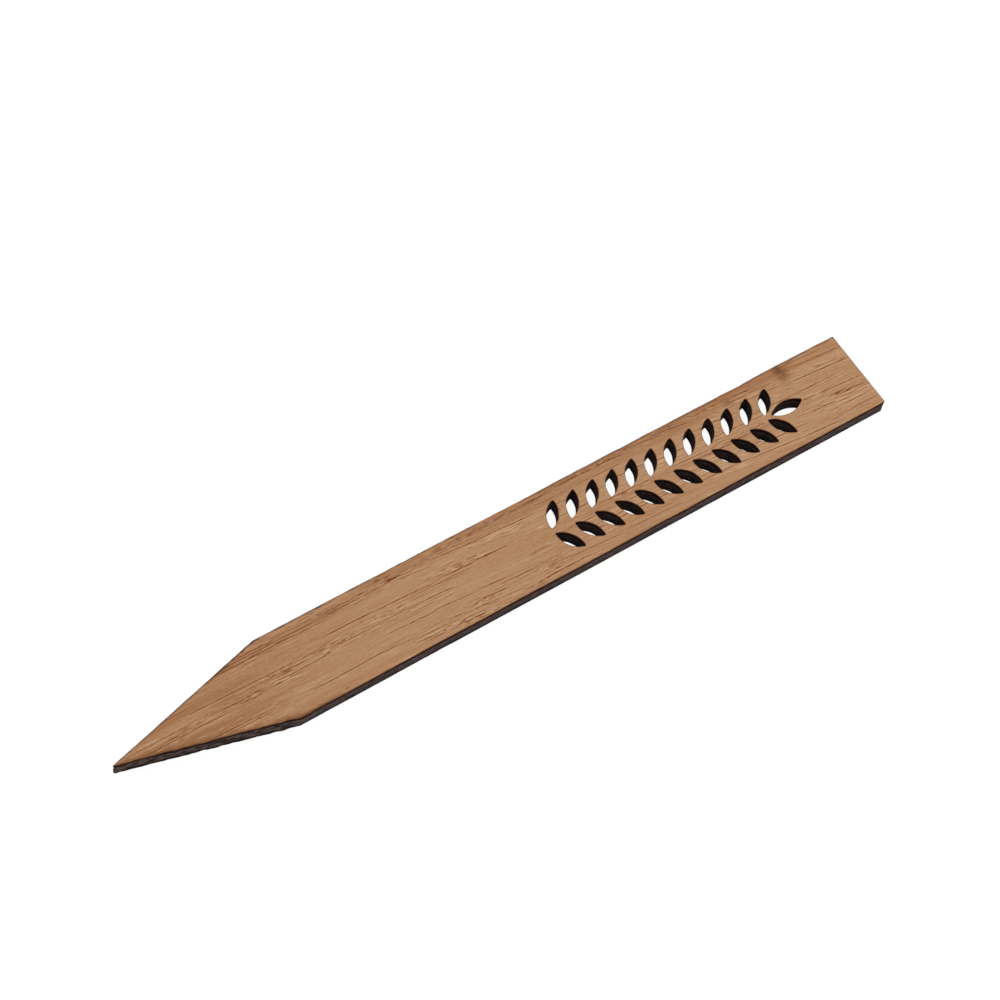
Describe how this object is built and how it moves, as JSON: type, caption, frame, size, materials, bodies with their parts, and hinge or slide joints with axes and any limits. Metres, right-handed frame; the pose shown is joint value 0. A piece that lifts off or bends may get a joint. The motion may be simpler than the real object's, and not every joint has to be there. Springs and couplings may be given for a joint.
{
  "type": "plant label stake",
  "caption": "Flat pointed garden label stake of veneered fibre board, its broad end pierced with a sprig of leaf-shaped openings.",
  "frame": {"origin": "middle of the stake's back face, half way along its length and its width", "axes": "+X along the stake from the soil point to the blunt end, +Y across the stake, +Z out of the front face"},
  "size_m": [0.2006, 0.0212, 0.0042],
  "materials": {
    "face_veneer": "matte",
    "charred_fibre_board": "matte",
    "backing_veneer": "matte"
  },
  "bodies": {
    "root": {"front_veneer": "face_veneer", "core_board": "charred_fibre_board", "back_veneer": "backing_veneer"}
  },
  "joints": []
}
